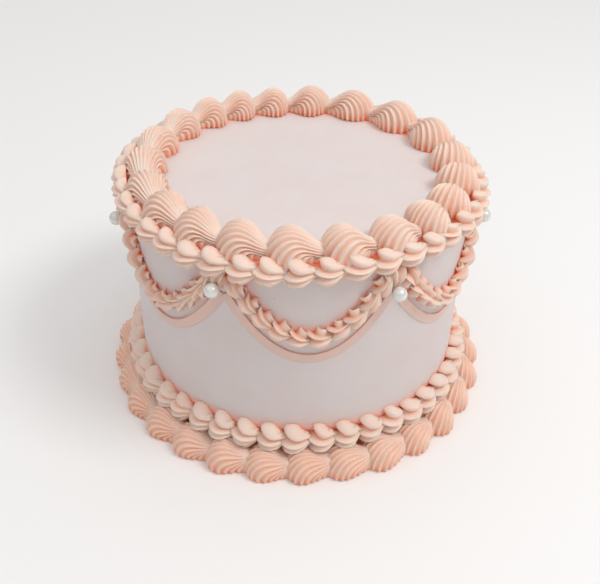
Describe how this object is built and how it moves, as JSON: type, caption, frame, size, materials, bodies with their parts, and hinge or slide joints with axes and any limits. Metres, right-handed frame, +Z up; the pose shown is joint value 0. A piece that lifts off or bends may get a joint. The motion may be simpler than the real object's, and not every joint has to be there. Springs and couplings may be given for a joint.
{
  "type": "lambeth cake",
  "caption": "Tall round buttercream cake with piped shell borders round the rim and foot, swags of small shells, flat icing ribbons and sugar pearls.",
  "frame": {"origin": "centre of the cake's flat underside, on the surface it stands on", "axes": "+Z up along the cake's axis; -Y is the front, with the middle of one swag a little to its right"},
  "size_m": [0.2024, 0.2019, 0.1259],
  "materials": {
    "coat_icing": "smooth pale pink buttercream coat, satin",
    "piped_icing": "piped peach pink buttercream, satin",
    "pearl": "glossy white sugar pearl"
  },
  "bodies": {
    "root": {"cake_body": "coat_icing", "rim_shell_border": "piped_icing", "upper_small_border": "piped_icing", "lower_small_border": "piped_icing", "foot_shell_border": "piped_icing", "swag_0": "piped_icing", "swag_1": "piped_icing", "swag_2": "piped_icing", "swag_3": "piped_icing", "swag_4": "piped_icing", "swag_5": "piped_icing", "swag_6": "piped_icing", "ribbon_0": "piped_icing", "ribbon_1": "piped_icing", "ribbon_2": "piped_icing", "ribbon_3": "piped_icing", "ribbon_4": "piped_icing", "ribbon_5": "piped_icing", "ribbon_6": "piped_icing", "drop_0": "piped_icing", "drop_1": "piped_icing", "drop_2": "piped_icing", "drop_3": "piped_icing", "drop_4": "piped_icing", "drop_5": "piped_icing", "drop_6": "piped_icing", "pearl_0": "pearl", "pearl_1": "pearl", "pearl_2": "pearl", "pearl_3": "pearl", "pearl_4": "pearl", "pearl_5": "pearl", "pearl_6": "pearl"}
  },
  "joints": []
}
